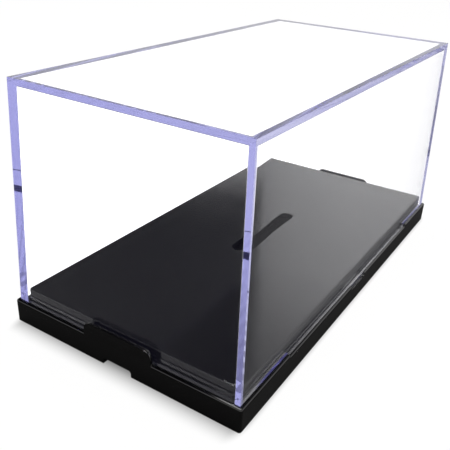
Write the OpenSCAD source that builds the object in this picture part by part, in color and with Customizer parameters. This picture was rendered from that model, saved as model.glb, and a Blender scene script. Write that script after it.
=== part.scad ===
// Display case for one small scale model: a clear one-piece cover that stands on a black moulded base.
// X runs along the case, Y across it and Z up. The origin is the centre of the base's underside.

/* [Case] */
// Outer length of the cover at its foot
case_l = 150; // [110:1:300]
// Outer width of the cover at its foot
case_w = 78.4; // [50:0.2:160]
// Height of the cover from its foot to its top
cover_h = 67.4; // [35:0.2:160]
// Height above the table of the seat that the cover stands on
seat_h = 7.6; // [6.5:0.1:20]

/* [Cover] */
// Thickness of the four walls at their foot
wall_t = 2.1; // [1.2:0.1:3]
// Thickness of the roof
roof_t = 2.2; // [1.2:0.1:4]
// How far the outside of each wall leans in over the cover's height, so that the moulding leaves its tool
wall_lean = 2.3; // [0:0.1:3.5]
// How far the inside leans in up to the roof: more than the outside, so the walls thicken upwards
room_lean = 2.4; // [0:0.1:4]
// Radius of the inside corners and of the fillet under the roof
inner_r = 0.3; // [0.2:0.1:3]
// Length of the tongue under each long wall
tongue_l = 100; // [40:1:105]
// How far the tongues reach below the cover's foot
tongue_h = 1.5; // [0.8:0.1:2]

/* [Base] */
// How far the base reaches past the cover's foot
lip = 1.1; // [0.9:0.1:4]
// Radius of the base's upright corners
base_corner_r = 0.8; // [0.8:0.1:5]
// Radius of the base's top outer edge
rim_r = 0.8; // [0.3:0.1:0.8]
// Thickness of the base's side walls
side_t = 1.8; // [1:0.1:2.5]
// Thickness of the plastic under the seat and under the tongues' grooves
seat_t = 1.5; // [1:0.1:2.5]
// How far the rim beside each tongue is lower than the seat
rim_drop = 0.7; // [0.2:0.1:1.2]

/* [Deck] */
// Height of the raised deck above the seat
deck_rise = 4.0; // [1:0.1:8]
// Thickness of the deck
deck_t = 2.0; // [1:0.1:3]
// Radius of the deck's upright corners
deck_corner_r = 1.0; // [1:0.1:6]
// Radius of the deck's top edge
deck_edge_r = 0.5; // [0.2:0.1:0.9]
// Length of the slot that a model is screwed down through
slot_l = 36; // [12:1:60]
// Width of that slot
slot_w = 5.0; // [3:0.1:8]
// Distance of the slot's centre from the deck's centre, along the case
slot_x = 4; // [-10:0.5:10]

/* [Tabs and notches] */
// Width of the tab that holds each short wall from outside
tab_w = 24; // [10:0.5:36]
// Radius of each tab's top corners
tab_corner_r = 2.4; // [0.5:0.1:3]
// Width of the fingernail notch in the rim of each long side
nail_w = 11.4; // [8:0.2:20]
// Depth of that notch below the rim beside the tongue
nail_h = 1.3; // [1.1:0.1:1.6]
// Width of the finger notch under each short side
finger_w = 10; // [6:0.5:24]
// Height of the finger notch
finger_h = 2.0; // [1:0.1:3]
// Radius of the finger notch's top corners
finger_r = 0.8; // [0.2:0.1:0.9]

/* [Fits] */
// Clearance between the deck's sides and the foot of the cover's walls
deck_gap = 0.4; // [0.3:0.1:1]
// Clearance between the tabs and the cover's short walls
tab_gap = 0.15; // [0.05:0.05:0.3]
// Clearance around the tongues in their grooves
tongue_gap = 0.2; // [0.1:0.05:0.3]

/* [Hidden] */
$fn = 48;

base_l = case_l + 2 * lip;
base_w = case_w + 2 * lip;
deck_l = case_l - 2 * (wall_t + deck_gap);
deck_w = case_w - 2 * (wall_t + deck_gap);
deck_z = seat_h + deck_rise;
groove_z = seat_h - tongue_h - tongue_gap;
groove_l = tongue_l + 2 * tongue_gap;
rim_z = seat_h - rim_drop;
tab_t = lip - tab_gap;
past = 1;

// A block with round upright corners and a round top edge, standing on z = 0
module soft_block(l, w, h, corner_r, edge_r) {
    hull()
        for (x = [-1, 1], y = [-1, 1])
            translate([x * (l / 2 - corner_r), y * (w / 2 - corner_r), 0]) {
                cylinder(r = corner_r, h = h - edge_r, $fn = 32);
                translate([0, 0, h - edge_r])
                    rotate_extrude($fn = 32)
                        intersection() {
                            translate([corner_r - edge_r, 0]) circle(edge_r);
                            square([corner_r, edge_r]);
                        }
            }
}

// A block centred in plan, from z = low to z = high
module slab(l, w, low, high) {
    translate([-l / 2, -w / 2, low]) cube([l, w, high - low]);
}

// The outer block: its rim is lower beside the tongues than at the two ends
module base_block() {
    soft_block(base_l, base_w, rim_z, base_corner_r, rim_r);
    difference() {
        soft_block(base_l, base_w, seat_h, base_corner_r, rim_r);
        slab(groove_l, base_w + 2 * past, rim_z, seat_h + past);
    }
    soft_block(deck_l, deck_w, deck_z, deck_corner_r, deck_edge_r);
}

// The hollow underneath: shallow below the seat, deeper below the deck
module base_hollow() {
    slab(base_l - 2 * side_t, base_w - 2 * side_t, -past, groove_z - seat_t);
    slab(deck_l - 2 * side_t, deck_w - 2 * side_t, -past, deck_z - deck_t);
}

// The upright tab outside one short wall, with round top corners
module tab() {
    tab_z = seat_h - rim_r;
    tab_h = deck_z - tab_z;
    translate([case_l / 2 + tab_gap, 0, tab_z])
        rotate([90, 0, 90])
            linear_extrude(tab_t) {
                translate([-tab_w / 2, 0]) square([tab_w, tab_h - tab_corner_r]);
                translate([tab_corner_r - tab_w / 2, 0]) square([tab_w - 2 * tab_corner_r, tab_h]);
                for (y = [-1, 1])
                    translate([y * (tab_w / 2 - tab_corner_r), tab_h - tab_corner_r]) circle(tab_corner_r);
            }
}

// The groove beside the deck that takes one tongue, and the fingernail notch in the rim outside it
module groove_and_nail_notch() {
    groove_in = deck_w / 2;
    groove_out = case_w / 2 + tongue_gap;
    nail_z = rim_z - nail_h;
    translate([-groove_l / 2, groove_in, groove_z])
        cube([groove_l, groove_out - groove_in, seat_h + past - groove_z]);
    translate([-nail_w / 2, case_w / 2 - wall_t / 2, nail_z])
        cube([nail_w, base_w, seat_h + past - nail_z]);
}

// The opening under one short side, with round top corners
module finger_notch() {
    translate([base_l / 2 - side_t - past, 0, 0])
        rotate([90, 0, 90])
            linear_extrude(side_t + 2 * past) {
                translate([-finger_w / 2, -past]) square([finger_w, past + finger_h - finger_r]);
                translate([finger_r - finger_w / 2, -past])
                    square([finger_w - 2 * finger_r, past + finger_h]);
                for (y = [-1, 1])
                    translate([y * (finger_w / 2 - finger_r), finger_h - finger_r]) circle(finger_r);
            }
}

// The slot through the deck, with round ends
module slot() {
    half = (slot_l - slot_w) / 2;
    slot_low = deck_z - deck_t - past;
    slot_deep = deck_t + 2 * past;
    translate([slot_x, 0, slot_low]) {
        translate([-half, -slot_w / 2, 0]) cube([2 * half, slot_w, slot_deep]);
        for (x = [-half, half])
            translate([x, 0, 0]) cylinder(d = slot_w, h = slot_deep);
    }
}

// Black base: a hollow moulding with a seat, grooves and tabs for the cover, and a raised deck
module base() {
    color("#0d0d0e")
        difference() {
            union() {
                base_block();
                for (side = [0, 180])
                    rotate([0, 0, side]) tab();
            }
            base_hollow();
            slot();
            for (side = [0, 180])
                rotate([0, 0, side]) {
                    groove_and_nail_notch();
                    finger_notch();
                }
        }
}

// The space inside the cover, with round corners and a fillet under the roof
module cover_room() {
    roof_z = seat_h + cover_h - roof_t;
    foot_x = case_l / 2 - wall_t - inner_r;
    foot_y = case_w / 2 - wall_t - inner_r;
    hull()
        for (x = [-1, 1], y = [-1, 1]) {
            translate([x * foot_x, y * foot_y, seat_h - past])
                cylinder(r = inner_r, h = past, $fn = 32);
            translate([x * (foot_x - room_lean), y * (foot_y - room_lean), roof_z - inner_r])
                sphere(inner_r, $fn = 32);
        }
}

// Clear cover: four leaning walls and a roof in one moulding, with a tongue under each long wall
module cover() {
    top_l = case_l - 2 * wall_lean;
    top_w = case_w - 2 * wall_lean;
    color("#cfd0ee", 0.35) {
        difference() {
            translate([0, 0, seat_h])
                linear_extrude(cover_h, scale = [top_l / case_l, top_w / case_w])
                    square([case_l, case_w], center = true);
            cover_room();
        }
        for (side = [0, 180])
            rotate([0, 0, side])
                translate([-tongue_l / 2, case_w / 2 - wall_t, seat_h - tongue_h])
                    cube([tongue_l, wall_t, tongue_h]);
    }
}

base();
cover();
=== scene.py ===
import math

import bmesh
import bpy
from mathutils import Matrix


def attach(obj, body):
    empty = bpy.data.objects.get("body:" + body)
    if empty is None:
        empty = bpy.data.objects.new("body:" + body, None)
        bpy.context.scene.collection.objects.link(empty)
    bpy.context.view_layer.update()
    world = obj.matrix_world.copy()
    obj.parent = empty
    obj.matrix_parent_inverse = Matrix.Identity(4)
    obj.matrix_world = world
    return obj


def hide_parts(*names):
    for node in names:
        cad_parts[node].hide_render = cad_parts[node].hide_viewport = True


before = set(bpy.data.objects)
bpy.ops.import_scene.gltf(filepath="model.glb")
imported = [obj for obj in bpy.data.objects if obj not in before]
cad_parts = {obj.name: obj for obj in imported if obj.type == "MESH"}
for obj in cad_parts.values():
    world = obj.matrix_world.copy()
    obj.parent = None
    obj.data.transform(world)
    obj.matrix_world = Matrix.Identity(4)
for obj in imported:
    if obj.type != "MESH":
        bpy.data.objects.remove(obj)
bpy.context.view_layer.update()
bpy.ops.object.select_all(action="DESELECT")


# ---- Base ----
# One black polystyrene moulding, polished in its tool: a hollow tray with a raised deck, turned upside down.
# A groove along each long side takes a tongue of the cover. A tab on each short side holds it from outside.
mm = 0.001
# Lengths that differ by less than this count as equal
close = 1e-6
base_l, base_w = 152.2 * mm, 80.6 * mm
base_corner_r = 0.8 * mm
seat_z = 7.6 * mm
# The rim is lower beside the tongues than at the two ends. Its rounding is a little less than the corners',
# because a cut through two equal roundings fails
rim_z = 6.9 * mm
rim_r = 0.7 * mm
deck_l, deck_w = 145.0 * mm, 73.4 * mm
deck_root_z, deck_z = 4 * mm, 11.6 * mm
deck_corner_r = 1.0 * mm
deck_edge_r = 0.5 * mm
side_t = 1.8 * mm
under_seat_z, under_deck_z = 4.4 * mm, 9.5 * mm
hollow_corner_r = 1.0 * mm
tab_in, tab_w = 75.15 * mm, 24.0 * mm
tab_root_z = seat_z - 0.8 * mm
tab_corner_r = 2.4 * mm
slot_l, slot_w, slot_x = 36.0 * mm, 5.0 * mm, 4.0 * mm
slot_low, slot_high = 8 * mm, 13 * mm
# A hair less than half the width, so that a sliver of each end stays flat
slot_end_r = slot_w / 2 - 0.01 * mm
groove_l = 100.4 * mm
groove_in, groove_out = 36.7 * mm, 39.4 * mm
groove_z = 5.9 * mm
nail_in, nail_w = 38.2 * mm, 11.4 * mm
nail_z = 5.6 * mm
nail_corner_r = 0.5 * mm
finger_w, finger_h = 10.0 * mm, 2.0 * mm
finger_corner_r = 0.8 * mm
# How far a cutter reaches past what it cuts
past = 1.0 * mm
base_soft_edge = 0.12 * mm


def block(name, x, y, z):
    """A box between two lengths on each axis, as the start of a piece or of a cutter."""
    bpy.ops.object.select_all(action="DESELECT")
    middle = ((x[0] + x[1]) / 2, (y[0] + y[1]) / 2, (z[0] + z[1]) / 2)
    bpy.ops.mesh.primitive_cube_add(size=1, location=middle)
    made = bpy.context.object
    made.name = name
    made.scale = (x[1] - x[0], y[1] - y[0], z[1] - z[0])
    bpy.ops.object.transform_apply(location=True, rotation=True, scale=True)
    return made


def edit(made, kind):
    """Opens one mesh for editing with nothing picked, to pick its vertices, edges or faces."""
    bpy.ops.object.select_all(action="DESELECT")
    bpy.context.view_layer.objects.active = made
    made.select_set(True)
    bpy.ops.object.mode_set(mode="EDIT")
    bpy.ops.mesh.select_mode(type=kind)
    bpy.ops.mesh.select_all(action="DESELECT")
    return bmesh.from_edit_mesh(made.data)


def round_edges(made, chosen, radius, segments):
    """Rounds the edges for which chosen(one end, other end) is true."""
    mesh = edit(made, "EDGE")
    for edge in mesh.edges:
        edge.select_set(chosen(edge.verts[0].co, edge.verts[1].co))
    bmesh.update_edit_mesh(made.data)
    bpy.ops.mesh.bevel(offset=radius, segments=segments, affect="EDGES", clamp_overlap=False)
    bpy.ops.object.mode_set(mode="OBJECT")


def upright(a, b):
    """True for an edge straight up."""
    return abs(a.z - b.z) > 0.1 * mm and abs(a.x - b.x) + abs(a.y - b.y) < close


def level_at(z):
    """Tells the edges that lie at one height."""
    return lambda a, b: abs(a.z - z) < close and abs(b.z - z) < close


def combine(made, other, operation):
    """Joins other to a piece or cuts it away, and removes it."""
    bpy.context.view_layer.objects.active = made
    bpy.ops.object.modifier_add(type="BOOLEAN")
    cut = made.modifiers[-1]
    cut.operation = operation
    cut.solver = "EXACT"
    cut.object = other
    bpy.ops.object.modifier_apply(modifier=cut.name)
    bpy.data.objects.remove(other)


def on_side(turn, x, y):
    """The two ranges as they are, or the same two on the part's other side."""
    return ((-x[1], -x[0]), (-y[1], -y[0])) if turn else (x, y)


def centred(size):
    """The range of this size round zero."""
    return (-size / 2, size / 2)


base = block("black_base", centred(base_l), centred(base_w), (0, seat_z))
round_edges(base, upright, base_corner_r, segments=6)
round_edges(base, level_at(seat_z), rim_r, segments=6)

low_rim = block("low_rim", centred(base_l), centred(base_w), (0, rim_z))
round_edges(low_rim, upright, base_corner_r, segments=6)
round_edges(low_rim, level_at(rim_z), rim_r, segments=6)
above_rim = block("above_rim", centred(groove_l), (-base_w, base_w), (rim_z - past, seat_z + past))
combine(above_rim, low_rim, "DIFFERENCE")
combine(base, above_rim, "DIFFERENCE")

deck = block("deck", centred(deck_l), centred(deck_w), (deck_root_z, deck_z))
round_edges(deck, upright, deck_corner_r, segments=6)
round_edges(deck, level_at(deck_z), deck_edge_r, segments=5)
combine(base, deck, "UNION")


def tab_corner(a, b):
    """True for the two top edges of a tab that run along the case."""
    return abs(a.y - b.y) < close and min(a.z, b.z) > deck_z - close


for turn in (False, True):
    x, y = on_side(turn, (tab_in, base_l / 2), centred(tab_w))
    tab = block("tab", x, y, (tab_root_z, deck_z))
    round_edges(tab, tab_corner, tab_corner_r, segments=8)
    combine(base, tab, "UNION")

# The hollow underneath: shallow below the seat, deeper below the deck
for name, size_x, size_y, roof in (
        ("under_seat", base_l, base_w, under_seat_z), ("under_deck", deck_l, deck_w, under_deck_z)):
    x, y = (side_t - size_x / 2, size_x / 2 - side_t), (side_t - size_y / 2, size_y / 2 - side_t)
    under = block(name, x, y, (-past, roof))
    round_edges(under, upright, hollow_corner_r, segments=4)
    combine(base, under, "DIFFERENCE")

# The slot that a model is screwed down through
slot = block("screw_slot", (slot_x - slot_l / 2, slot_x + slot_l / 2), centred(slot_w), (slot_low, slot_high))
round_edges(slot, upright, slot_end_r, segments=10)
combine(base, slot, "DIFFERENCE")


def nail_corner(a, b):
    """True for the two lower edges of a fingernail notch that run across the case."""
    return abs(a.x - b.x) < close and max(a.z, b.z) < nail_z + close


def finger_corner(a, b):
    """True for the two upper edges of a finger notch that run along the case."""
    return abs(a.y - b.y) < close and min(a.z, b.z) > finger_h - close


# On each side a tongue's groove, the fingernail notch in the rim beside it, and the finger notch underneath
for turn in (False, True):
    x, y = on_side(turn, centred(groove_l), (groove_in, groove_out))
    combine(base, block("groove", x, y, (groove_z, seat_z + past)), "DIFFERENCE")
    x, y = on_side(turn, centred(nail_w), (nail_in, base_w / 2 + past))
    nail = block("nail_notch", x, y, (nail_z, seat_z + past))
    round_edges(nail, nail_corner, nail_corner_r, segments=4)
    combine(base, nail, "DIFFERENCE")
    x, y = on_side(turn, (base_l / 2 - side_t - past, base_l / 2 + past), centred(finger_w))
    finger = block("finger_notch", x, y, (-past, finger_h))
    round_edges(finger, finger_corner, finger_corner_r, segments=6)
    combine(base, finger, "DIFFERENCE")


def finish_mesh(made, soft_edge, segments):
    """Cleans a piece after its cuts, rounds its sharp edges by soft_edge and smooths what is round."""
    nearly_flat, sharp, smooth_up_to = (math.radians(angle) for angle in (0.3, 35, 32))
    edit(made, "EDGE")
    bpy.ops.mesh.select_all(action="SELECT")
    bpy.ops.mesh.remove_doubles(threshold=2 * close)
    bpy.ops.mesh.dissolve_limited(angle_limit=nearly_flat)
    bpy.ops.object.mode_set(mode="OBJECT")
    if soft_edge:
        bpy.ops.object.modifier_add(type="BEVEL")
        bevel = made.modifiers[-1]
        bevel.width = soft_edge
        bevel.segments = segments
        bevel.limit_method = "ANGLE"
        bevel.angle_limit = sharp
        bevel.use_clamp_overlap = False
        bpy.ops.object.modifier_apply(modifier=bevel.name)
    bpy.ops.object.shade_smooth_by_angle(angle=smooth_up_to)
    bpy.ops.object.modifier_add(type="WEIGHTED_NORMAL")
    weighted = made.modifiers[-1]
    weighted.keep_sharp = True
    weighted.weight = 100
    bpy.ops.object.modifier_apply(modifier=weighted.name)


finish_mesh(base, base_soft_edge, segments=2)
# Where a rounding runs out on another one its points end up past the sides, and are drawn back
for vert in base.data.vertices:
    vert.co.x = max(-base_l / 2, min(base_l / 2, vert.co.x))
    vert.co.y = max(-base_w / 2, min(base_w / 2, vert.co.y))


# Black polystyrene, injection moulded against a polished tool: a near-mirror skin over a deep black.
# It picks up a haze of fine handling marks, a slow ripple where the plastic shrank, and specks of pale dust.
def linear(code):
    """An sRGB hex colour as the linear colour that a shader takes."""
    parts = [int(code[i:i + 2], 16) / 255 for i in (1, 3, 5)]
    return [c / 12.92 if c <= 0.04045 else ((c + 0.055) / 1.055) ** 2.4 for c in parts] + [1.0]


def add_node(tree, kind, inputs=None, **settings):
    """Adds a node with its settings, and sets or links its inputs."""
    node = tree.nodes.new(kind)
    for name, value in settings.items():
        setattr(node, name, value)
    for name, value in (inputs or {}).items():
        if isinstance(value, bpy.types.NodeSocket):
            tree.links.new(value, node.inputs[name])
        else:
            node.inputs[name].default_value = value
    return node


def new_tree(owner):
    """Turns nodes on for a material or a world, and empties its tree."""
    owner.use_nodes = True
    owner.node_tree.nodes.clear()
    return owner.node_tree


def grains(tree, place, scale, size, rarity):
    """Specks that are 1 inside and 0 outside, at most one to a cell. A speck's radius is size, in cells."""
    cells = add_node(tree, "ShaderNodeTexVoronoi", {"Vector": place, "Scale": scale})
    inside = add_node(
        tree, "ShaderNodeMath", {0: cells.outputs["Distance"], 1: size}, operation="LESS_THAN")
    pick = add_node(tree, "ShaderNodeSeparateColor", {"Color": cells.outputs["Color"]})
    few = add_node(tree, "ShaderNodeMath", {0: pick.outputs["Red"], 1: rarity}, operation="GREATER_THAN")
    both = add_node(tree, "ShaderNodeMath", {0: inside.outputs[0], 1: few.outputs[0]}, operation="MULTIPLY")
    return both.outputs[0]


black = bpy.data.materials.new("black_moulded_polystyrene")
tree = new_tree(black)
place = add_node(tree, "ShaderNodeTexCoord").outputs["Object"]
# Handling haze, in patches of about 25 mm
haze = add_node(
    tree, "ShaderNodeTexNoise", {"Vector": place, "Scale": 40.0, "Detail": 4.0, "Roughness": 0.6})
roughness = add_node(tree, "ShaderNodeMapRange", {
    "Value": haze.outputs["Fac"], "From Min": 0.35, "From Max": 0.7, "To Min": 0.045, "To Max": 0.11})
# Pale dust grains of up to 0.45 mm, larger than real so that they show
dust = grains(tree, place, scale=220.0, size=0.05, rarity=0.93)
colour = add_node(
    tree, "ShaderNodeMix", {0: dust, 6: linear("#040405"), 7: linear("#6c6a66")}, data_type="RGBA")
# Ripple of the skin, about 12 mm from wave to wave
ripple = add_node(tree, "ShaderNodeTexNoise", {"Vector": place, "Scale": 85.0, "Detail": 1.0})
ripple_bump = add_node(
    tree, "ShaderNodeBump", {"Height": ripple.outputs["Fac"], "Distance": 0.00002, "Strength": 1.0})
skin = add_node(tree, "ShaderNodeBsdfPrincipled", {
    "Base Color": colour.outputs[2], "Roughness": roughness.outputs[0], "IOR": 1.59,
    "Normal": ripple_bump.outputs[0]})
add_node(tree, "ShaderNodeOutputMaterial", {"Surface": skin.outputs[0]})
base.data.materials.clear()
base.data.materials.append(black)
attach(base, "base")
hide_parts("base")


# ---- Cover ----
# One clear polystyrene moulding: a flat roof, and four walls that lean in a little so that it leaves its
# tool. It stands loose on the base's seat, and a tongue under each long wall drops into a groove of the base.
cover_l, cover_w = 150.0 * mm, 78.4 * mm
# A film of air under the foot, without which light in the walls would see the black seat
foot_z = seat_z + 0.03 * mm
top_l, top_w = 145.4 * mm, 73.8 * mm
top_z = 75.0 * mm
cover_edge_r = 0.05 * mm
# An upright edge of the outside is longer than the first, and its middle lies past the other two
tall, outside_x, outside_y = 20 * mm, 72 * mm, 36.4 * mm
room_l, room_w = 145.8 * mm, 74.2 * mm
room_z = 72.8 * mm
room_lean = 2.4 * mm
room_corner_r = 0.1 * mm
roof_fillet = 0.15 * mm
tongue_l = 100.0 * mm
tongue_z = 6.1 * mm
# The long walls thicken inwards by the swell, from swell_x to each corner
swell, swell_x = 0.08 * mm, 62.0 * mm
past_swell = swell_x + 1.0 * mm
# A face whose normal has more than this along Z counts as flat
flat = 0.9


def pick_faces(made, chosen):
    """Opens a mesh with the faces picked for which chosen(face) is true."""
    mesh = edit(made, "FACE")
    for face in mesh.faces:
        face.select_set(chosen(face))
    bmesh.update_edit_mesh(made.data)


def lean_walls(made, along, across):
    """Draws a block's top face in, so that its walls lean."""
    pick_faces(made, lambda face: face.normal.z > flat)
    bpy.ops.transform.resize(value=(along, across, 1), center_override=(0, 0, 0))
    bpy.ops.object.mode_set(mode="OBJECT")


def score_across(made, x):
    """Adds a loop of edges round a piece at both x and -x."""
    for plane_x in (x, -x):
        edit(made, "FACE")
        bpy.ops.mesh.select_all(action="SELECT")
        bpy.ops.mesh.bisect(plane_co=(plane_x, 0, 0), plane_no=(1, 0, 0))
        bpy.ops.object.mode_set(mode="OBJECT")


def extrude_down(depth):
    """Draws the picked faces straight down."""
    bpy.ops.mesh.extrude_region_move(TRANSFORM_OT_translate={"value": (0, 0, -depth)})
    bpy.ops.object.mode_set(mode="OBJECT")


cover = block("clear_cover", centred(cover_l), centred(cover_w), (foot_z, top_z))
lean_walls(cover, top_l / cover_l, top_w / cover_w)
room = block("cover_room", centred(room_l), centred(room_w), (foot_z, room_z))
lean_walls(room, 1 - 2 * room_lean / room_l, 1 - 2 * room_lean / room_w)

# The swell of the long walls
score_across(room, swell_x)
mesh = edit(room, "VERT")
for vert in mesh.verts:
    vert.select_set(abs(vert.co.x) > past_swell)
mesh.select_flush(True)
bmesh.update_edit_mesh(room.data)
bpy.ops.transform.resize(value=(1, 1 - 2 * swell / room_w, 1), center_override=(0, 0, 0))
bpy.ops.object.mode_set(mode="OBJECT")

# The room reaches past the foot, at its foot's own size, so that the cut comes out clean
pick_faces(room, lambda face: face.normal.z < -flat)
extrude_down(past)


def room_corner(a, b):
    """True for the room's upright edges."""
    return abs(a.z - b.z) > past / 2 and min(abs(a.x), abs(b.x)) > past_swell


round_edges(room, room_corner, room_corner_r, segments=6)
round_edges(room, level_at(room_z), roof_fillet, segments=8)
combine(cover, room, "DIFFERENCE")

# The tongues are drawn down out of the foot of the long walls
score_across(cover, -tongue_l / 2)


def tongue_root(side):
    """Tells the faces of the foot that the tongue on one side grows from."""
    def chosen(face):
        middle = face.calc_center_median()
        under_wall = abs(middle.x) < tongue_l / 2 and middle.y * side > room_w / 2
        return face.normal.z < -flat and middle.z < foot_z + 10 * close and under_wall
    return chosen


for side in (-1, 1):
    pick_faces(cover, tongue_root(side))
    extrude_down(foot_z - tongue_z)


def outer_edge(a, b):
    """True for the outside's upright edges and for those round the roof."""
    def both_at(one, other, size):
        return abs(abs(one) - size / 2) < close and abs(abs(other) - size / 2) < close

    middle = (a + b) / 2
    corner = abs(a.z - b.z) > tall and abs(middle.x) > outside_x and abs(middle.y) > outside_y
    top_edge = min(a.z, b.z) > top_z - close and (both_at(a.x, b.x, top_l) or both_at(a.y, b.y, top_w))
    return corner or top_edge


round_edges(cover, outer_edge, cover_edge_r, segments=2)
finish_mesh(cover, soft_edge=0, segments=0)

# Clear polystyrene, injection moulded against a polished tool and toned a little violet against yellowing.
# Faces look colourless, and light that has run the length of a wall comes out violet at its edges.
clear = bpy.data.materials.new("clear_moulded_polystyrene")
tree = new_tree(clear)
place = add_node(tree, "ShaderNodeTexCoord").outputs["Object"]
# Brown dust specks of up to 0.4 mm, a few to a face
speck = grains(tree, place, scale=150.0, size=0.032, rarity=0.6)
colour = add_node(
    tree, "ShaderNodeMix", {0: speck, 6: linear("#ffffff"), 7: linear("#8c7a68")}, data_type="RGBA")
# A faint painted violet glow over all of the cover, standing in for light, softens the dark marks in its edge
# bands
glass = add_node(tree, "ShaderNodeBsdfPrincipled", {
    "Base Color": colour.outputs[2], "Roughness": 0.0, "IOR": 1.59, "Specular Tint": (0, 0, 0, 1),
    "Transmission Weight": 1.0, "Emission Color": linear("#b4b0f0"), "Emission Strength": 0.003})
toning = add_node(tree, "ShaderNodeVolumeAbsorption", {"Color": linear("#b6b6e8"), "Density": 11.5})
add_node(tree, "ShaderNodeOutputMaterial", {"Surface": glass.outputs[0], "Volume": toning.outputs[0]})
cover.data.materials.clear()
cover.data.materials.append(clear)
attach(cover, "cover")
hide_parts("cover")


# ---- Studio ----
# A plain white table top in a plain white room, under one large soft lamp. Clear plastic shows by the light
# that it passes, mirrors and gathers, so the table and the room look brighter or dimmer by that light's path.
table_size = 4.0
table_white = 0.965
# Seen through the cover that white is raised, to make up for what the cover's faces turn back
through_gain = 1.7
# Light gathered inside the walls, and light mirrored on its way through the cover, see these parts of it
gathered_part, mirrored_on_way = 0.6, 0.195
# Light mirrored last sees this part
mirrored_last = 0.03
# Light that has taken more steps than this has run along inside a wall
many_steps = 6.5
# The painted contact shadow, drawn by distance from the base and not by light, fades out between these
# distances from the centre, along and across
shadow_x = (70.5 * mm, 82.5 * mm)
shadow_y = (37.5 * mm, 42.0 * mm)

bpy.ops.object.select_all(action="DESELECT")
bpy.ops.mesh.primitive_plane_add(size=table_size, location=(0, 0, 0))
floor = bpy.context.object
floor.name = "table_top"
table = bpy.data.materials.new("white_table_laminate")
tree = new_tree(table)
matt = add_node(tree, "ShaderNodeBsdfDiffuse", {"Color": linear("#363534")})
# The camera, and what it sees through the cover, gets the white of an evenly lit table top
path = add_node(tree, "ShaderNodeLightPath")
straight = add_node(
    tree, "ShaderNodeMath", {0: path.outputs["Glossy Depth"], 1: 0.5}, operation="LESS_THAN")
gathered = add_node(
    tree, "ShaderNodeMath", {0: path.outputs["Ray Depth"], 1: many_steps}, operation="GREATER_THAN")
gathered_share = add_node(
    tree, "ShaderNodeMath", {0: gathered.outputs[0], 1: gathered_part}, operation="MULTIPLY")
straight_or_gathered = add_node(
    tree, "ShaderNodeMath", {0: straight.outputs[0], 1: gathered_share.outputs[0]}, operation="MAXIMUM")
share = add_node(
    tree, "ShaderNodeMath", {0: straight_or_gathered.outputs[0], 1: mirrored_on_way}, operation="MAXIMUM")
through = add_node(
    tree, "ShaderNodeMath", {0: path.outputs["Is Transmission Ray"], 1: share.outputs[0]},
    operation="MULTIPLY")
brighter_through = add_node(
    tree, "ShaderNodeMath", {0: through.outputs[0], 1: through_gain}, operation="MULTIPLY")
seen = add_node(
    tree, "ShaderNodeMath", {0: path.outputs["Is Camera Ray"], 1: brighter_through.outputs[0]},
    operation="MAXIMUM")
mirrored = add_node(
    tree, "ShaderNodeMath", {0: path.outputs["Is Glossy Ray"], 1: mirrored_last}, operation="MULTIPLY")
lift = add_node(tree, "ShaderNodeMath", {0: seen.outputs[0], 1: mirrored.outputs[0]}, operation="MAXIMUM")
# A painted contact shadow round the base: the table's white glow is taken away near the base by distance, not
# by light
spot = add_node(
    tree, "ShaderNodeSeparateXYZ", {"Vector": add_node(tree, "ShaderNodeTexCoord").outputs["Object"]})
along = add_node(tree, "ShaderNodeMath", {0: spot.outputs["X"]}, operation="ABSOLUTE")
across = add_node(tree, "ShaderNodeMath", {0: spot.outputs["Y"]}, operation="ABSOLUTE")
past_end = add_node(tree, "ShaderNodeMapRange", {
    "Value": along.outputs[0], "From Min": shadow_x[0], "From Max": shadow_x[1]})
past_side = add_node(tree, "ShaderNodeMapRange", {
    "Value": across.outputs[0], "From Min": shadow_y[0], "From Max": shadow_y[1]})
past_both = add_node(tree, "ShaderNodeCombineXYZ", {"X": past_end.outputs[0], "Y": past_side.outputs[0]})
past_base = add_node(tree, "ShaderNodeVectorMath", {0: past_both.outputs[0]}, operation="LENGTH")
outside_painted_shadow = add_node(
    tree, "ShaderNodeMapRange", {"Value": past_base.outputs["Value"]}, interpolation_type="SMOOTHSTEP")
lift_outside_painted_shadow = add_node(
    tree, "ShaderNodeMath", {0: lift.outputs[0], 1: outside_painted_shadow.outputs[0]}, operation="MULTIPLY")
strength = add_node(tree, "ShaderNodeMath", {0: lift_outside_painted_shadow.outputs[0], 1: table_white}, operation="MULTIPLY")
glow = add_node(
    tree, "ShaderNodeEmission", {"Color": linear("#ffffff"), "Strength": strength.outputs[0]})
both = add_node(tree, "ShaderNodeAddShader", {0: matt.outputs[0], 1: glow.outputs[0]})
add_node(tree, "ShaderNodeOutputMaterial", {"Surface": both.outputs[0]})
floor.data.materials.append(table)

# A white wall goes all round, up to 21 degrees above the table. It goes on to 30 degrees and fades by 44, but
# for one dim side, behind the case. The ceiling is nearly dark, so that the deck stays black.
ceiling_light = 0.07
dim_side_light = 0.03
# How much light a window adds to the wall, where it is brightest
window_light = 1.5
# The ceiling as light that is gathered inside the walls sees it
even_ceiling_light = 0.45
# The steps that light takes from the window into the closed cover, off the deck and out again
deck_steps = 6.0

world = bpy.data.worlds.new("studio")
bpy.context.scene.world = world
tree = new_tree(world)
direction = add_node(tree, "ShaderNodeTexCoord").outputs["Generated"]
height = add_node(tree, "ShaderNodeSeparateXYZ", {"Vector": direction})
below_ceiling = add_node(tree, "ShaderNodeMapRange", {
    "Value": height.outputs["Z"], "From Min": 0.5, "From Max": 0.7, "To Min": 1.0, "To Max": ceiling_light},
    interpolation_type="SMOOTHSTEP")
level = add_node(tree, "ShaderNodeVectorMath", {0: direction, 1: (1, 1, 0)}, operation="MULTIPLY")
heading = add_node(tree, "ShaderNodeVectorMath", {0: level.outputs[0]}, operation="NORMALIZE")
turned = add_node(tree, "ShaderNodeSeparateXYZ", {"Vector": heading.outputs[0]})
off_dim_side = add_node(tree, "ShaderNodeMapRange", {
    "Value": turned.outputs["Y"], "From Min": 0.455, "From Max": 0.495, "To Min": 1.0,
    "To Max": dim_side_light}, interpolation_type="SMOOTHSTEP")
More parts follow.
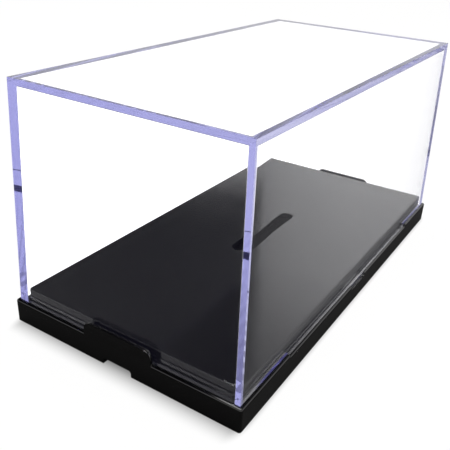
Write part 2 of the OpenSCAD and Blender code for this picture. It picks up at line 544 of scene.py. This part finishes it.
low_wall = add_node(tree, "ShaderNodeMapRange", {
    "Value": height.outputs["Z"], "From Min": 0.36, "From Max": 0.43, "To Min": 1.0, "To Max": 0.0},
    interpolation_type="SMOOTHSTEP")
lit_wall = add_node(
    tree, "ShaderNodeMath", {0: off_dim_side.outputs[0], 1: low_wall.outputs[0]}, operation="MAXIMUM")
wall_light = add_node(
    tree, "ShaderNodeMath", {0: below_ceiling.outputs[0], 1: lit_wall.outputs[0]}, operation="MULTIPLY")
# The window lies along X, and brightens only what the deck mirrors through the closed cover
steps = add_node(tree, "ShaderNodeLightPath").outputs["Ray Depth"]
window = add_node(tree, "ShaderNodeMapRange", {
    "Value": turned.outputs["X"], "From Min": 0.87, "From Max": 0.985, "To Min": 0.0,
    "To Max": window_light})
off_deck = add_node(tree, "ShaderNodeMath", {0: steps, 1: deck_steps, 2: 0.5}, operation="COMPARE")
window_seen = add_node(
    tree, "ShaderNodeMath", {0: window.outputs[0], 1: off_deck.outputs[0]}, operation="MULTIPLY")
window_gain = add_node(tree, "ShaderNodeMath", {0: window_seen.outputs[0], 1: 1.0}, operation="ADD")
room_light = add_node(
    tree, "ShaderNodeMath", {0: wall_light.outputs[0], 1: window_gain.outputs[0]}, operation="MULTIPLY")
# Light that has run the length of a clear wall has been gathered from all of the room, so it comes out even
gathered = add_node(tree, "ShaderNodeMath", {0: steps, 1: many_steps}, operation="GREATER_THAN")
even = add_node(tree, "ShaderNodeMapRange", {
    "Value": height.outputs["Z"], "From Min": 0.4, "From Max": 0.65, "To Min": 1.0,
    "To Max": even_ceiling_light})
even_light = add_node(
    tree, "ShaderNodeMath", {0: even.outputs[0], 1: gathered.outputs[0]}, operation="MULTIPLY")
shade = add_node(
    tree, "ShaderNodeMath", {0: room_light.outputs[0], 1: even_light.outputs[0]}, operation="MAXIMUM")
sky = add_node(tree, "ShaderNodeBackground", {"Color": linear("#ffffff"), "Strength": shade.outputs[0]})
add_node(tree, "ShaderNodeOutputWorld", {"Surface": sky.outputs[0]})

softbox_height = 1.3
bpy.ops.object.light_add(type="AREA", location=(0, 0, softbox_height))
softbox = bpy.context.object
softbox.data.shape = "SQUARE"
softbox.data.size = 1.0
softbox.data.energy = 20

# The camera stands close in front of one corner, turned by these angles in degrees
camera_at = (-0.17357, -0.09232, 0.11415)
camera_turn = (62.957, -2.708, -57.178)
bpy.ops.object.camera_add(location=camera_at, rotation=[math.radians(a) for a in camera_turn])
camera = bpy.context.object
camera.data.lens = 48.49
camera.data.sensor_width = 36.0
camera.data.clip_start = 0.005
bpy.context.scene.camera = camera

scene = bpy.context.scene
scene.view_settings.view_transform = "Standard"
# Light bounces many times inside the cover's walls before it comes out at an edge
most_bounces = 96
scene.cycles.max_bounces = most_bounces
scene.cycles.glossy_bounces = most_bounces
scene.cycles.transmission_bounces = most_bounces
